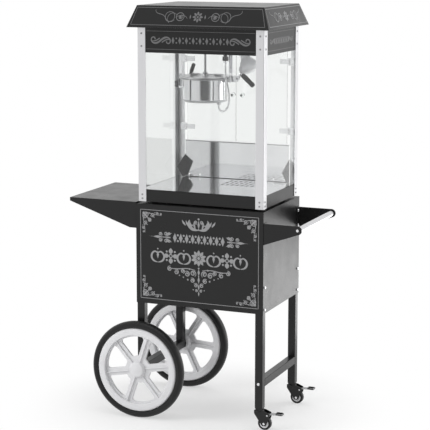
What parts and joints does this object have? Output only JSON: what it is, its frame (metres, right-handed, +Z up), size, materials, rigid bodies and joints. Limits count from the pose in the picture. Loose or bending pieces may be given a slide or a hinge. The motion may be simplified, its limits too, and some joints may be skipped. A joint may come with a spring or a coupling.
{
  "type": "popcorn machine on a cart",
  "caption": "Glass-sided popcorn machine with a tilting kettle, rear doors, serving flap and kernel drawer, standing on a wheeled cart with a side shelf and push handle.",
  "frame": {"origin": "on the floor, under the middle of the whole cart, side shelf and handle included", "axes": "+Z up, +X to the right towards the push handle, +Y to the back where the doors are"},
  "size_m": [0.936, 0.481, 1.555],
  "materials": {
    "black_coat": "satin powder coat",
    "post_aluminium": "bright satin",
    "polished_steel": "polished",
    "bright_fittings": "bright plated",
    "clear_glass": "clear",
    "lamp_glass": "frosted",
    "silver_plastic": "satin silver",
    "tyre_rubber": "matt",
    "black_rubber": "matt",
    "black_plastic": "moulded",
    "heater_alloy": "spun",
    "motor_case": "grey"
  },
  "bodies": {
    "cart": {"roof_canopy": "black_coat", "header_band": "black_coat", "ceiling_plate": "polished_steel", "corner_posts": "post_aluminium", "front_glass": "clear_glass", "left_glass": "clear_glass", "right_glass": "clear_glass", "deck_plate": "polished_steel", "base_tray": "black_coat", "machine_feet": "black_rubber", "rear_hinge_brackets": "bright_fittings", "kettle_hangers": "polished_steel", "conduit_gland": "black_plastic", "kettle_conduit": "bright_fittings", "gear_motor": "motor_case", "lamp_holder": "black_plastic", "lamp_bulb": "lamp_glass", "electric_housings": "black_plastic", "machine_screws": "bright_fittings", "cart_front_panel": "black_coat", "cart_side_panels": "black_coat", "cart_decks": "black_coat", "cart_legs": "black_coat", "cross_tubes": "black_coat", "wheel_axle": "bright_fittings", "side_shelf": "black_coat", "handle_arms": "black_coat", "handle_bar": "bright_fittings", "cart_bolts": "bright_fittings", "caster_stems": "bright_fittings"},
    "front_wheel": {"front_wheel_rim": "silver_plastic", "front_wheel_tyre": "tyre_rubber"},
    "rear_wheel": {"rear_wheel_rim": "silver_plastic", "rear_wheel_tyre": "tyre_rubber"},
    "front_caster": {"front_caster_fork": "black_coat"},
    "front_caster_roller": {"front_caster_wheel": "black_rubber"},
    "front_brake": {"front_brake_pedal": "bright_fittings"},
    "rear_caster": {"rear_caster_fork": "black_coat"},
    "rear_caster_roller": {"rear_caster_wheel": "black_rubber"},
    "rear_brake": {"rear_brake_pedal": "bright_fittings"},
    "left_door": {"left_door_glass": "clear_glass", "left_door_fittings": "bright_fittings"},
    "right_door": {"right_door_glass": "clear_glass", "right_door_fittings": "bright_fittings"},
    "flap": {"serving_flap": "polished_steel", "flap_cheeks": "black_coat"},
    "drawer": {"kernel_drawer": "polished_steel"},
    "kettle": {"kettle_pot": "polished_steel", "kettle_heater": "heater_alloy", "kettle_lid": "polished_steel", "tilt_handle": "polished_steel", "tilt_grip": "black_plastic"},
    "lid": {"lid_flap": "polished_steel", "lid_handle": "black_plastic"},
    "stirrer": {"stirrer": "polished_steel"},
    "coupling": {"motor_coupling": "bright_fittings"},
    "knob": {"lock_knob": "black_plastic"},
    "heat_rocker": {"heat_switch": "black_plastic"},
    "stir_rocker": {"stir_switch": "black_plastic"},
    "light_rocker": {"light_switch": "black_plastic"}
  },
  "joints": [
    {"name": "front_wheel_spin", "type": "hinge", "parent": "cart", "child": "front_wheel", "pos_m": [-0.1725, -0.2185, 0.1866], "axis": [0, 1, 0], "continuous": true},
    {"name": "rear_wheel_spin", "type": "hinge", "parent": "cart", "child": "rear_wheel", "pos_m": [-0.1725, 0.2185, 0.1866], "axis": [0, 1, 0], "continuous": true},
    {"name": "front_caster_swivel", "type": "hinge", "parent": "cart", "child": "front_caster", "pos_m": [0.3045, -0.1775, 0.071], "axis": [0, 0, 1], "continuous": true},
    {"name": "front_caster_roll", "type": "hinge", "parent": "front_caster", "child": "front_caster_roller", "pos_m": [0.3255, -0.1775, 0.0253], "axis": [0, 1, 0], "continuous": true},
    {"name": "front_brake_press", "type": "hinge", "parent": "front_caster", "child": "front_brake", "pos_m": [0.3385, -0.1775, 0.058], "axis": [0, 1, 0], "range_deg": [0, 20]},
    {"name": "rear_caster_swivel", "type": "hinge", "parent": "cart", "child": "rear_caster", "pos_m": [0.3045, 0.1775, 0.071], "axis": [0, 0, 1], "continuous": true},
    {"name": "rear_caster_roll", "type": "hinge", "parent": "rear_caster", "child": "rear_caster_roller", "pos_m": [0.3255, 0.1775, 0.0253], "axis": [0, 1, 0], "continuous": true},
    {"name": "rear_brake_press", "type": "hinge", "parent": "rear_caster", "child": "rear_brake", "pos_m": [0.3385, 0.1775, 0.058], "axis": [0, 1, 0], "range_deg": [0, 20]},
    {"name": "left_door_swing", "type": "hinge", "parent": "cart", "child": "left_door", "pos_m": [-0.145, 0.1775, 1.2], "axis": [0, 0, 1], "range_deg": [0, 110]},
    {"name": "right_door_swing", "type": "hinge", "parent": "cart", "child": "right_door", "pos_m": [0.277, 0.1775, 1.2], "axis": [0, 0, 1], "range_deg": [-110, 0]},
    {"name": "flap_fold", "type": "hinge", "parent": "cart", "child": "flap", "pos_m": [0.066, 0.17625, 0.8763], "axis": [1, 0, 0], "range_deg": [-35, 0]},
    {"name": "drawer_slide", "type": "slide", "parent": "cart", "child": "drawer", "axis": [0, 1, 0], "range_m": [0, 0.22]},
    {"name": "kettle_tilt", "type": "hinge", "parent": "cart", "child": "kettle", "pos_m": [0.011, 0, 1.28], "axis": [1, 0, 0], "range_deg": [-95, 0], "deforming": ["kettle_conduit"]},
    {"name": "lid_lift", "type": "hinge", "parent": "kettle", "child": "lid", "pos_m": [0.011, 0.017, 1.2913], "axis": [1, 0, 0], "range_deg": [0, 60]},
    {"name": "stirrer_spin", "type": "hinge", "parent": "kettle", "child": "stirrer", "pos_m": [0.011, 0, 1.3], "axis": [0, 0, 1], "continuous": true},
    {"name": "coupling_spin", "type": "hinge", "parent": "cart", "child": "coupling", "pos_m": [0.011, 0, 1.392], "axis": [0, 0, 1], "continuous": true},
    {"name": "lock_knob_turn", "type": "hinge", "parent": "cart", "child": "knob", "pos_m": [-0.09, 0, 1.253], "axis": [1, 0, 0], "range_deg": [-90, 90]},
    {"name": "heat_rock", "type": "hinge", "parent": "cart", "child": "heat_rocker", "pos_m": [0.02, 0.1783, 1.4285], "axis": [1, 0, 0], "range_deg": [0, 14]},
    {"name": "stir_rock", "type": "hinge", "parent": "cart", "child": "stir_rocker", "pos_m": [0.066, 0.1783, 1.4285], "axis": [1, 0, 0], "range_deg": [0, 14]},
    {"name": "light_rock", "type": "hinge", "parent": "cart", "child": "light_rocker", "pos_m": [0.112, 0.1783, 1.4285], "axis": [1, 0, 0], "range_deg": [0, 14]}
  ],
  "couplings": [
    {"joint": "coupling_spin", "follows": "stirrer_spin", "ratio": 1}
  ]
}
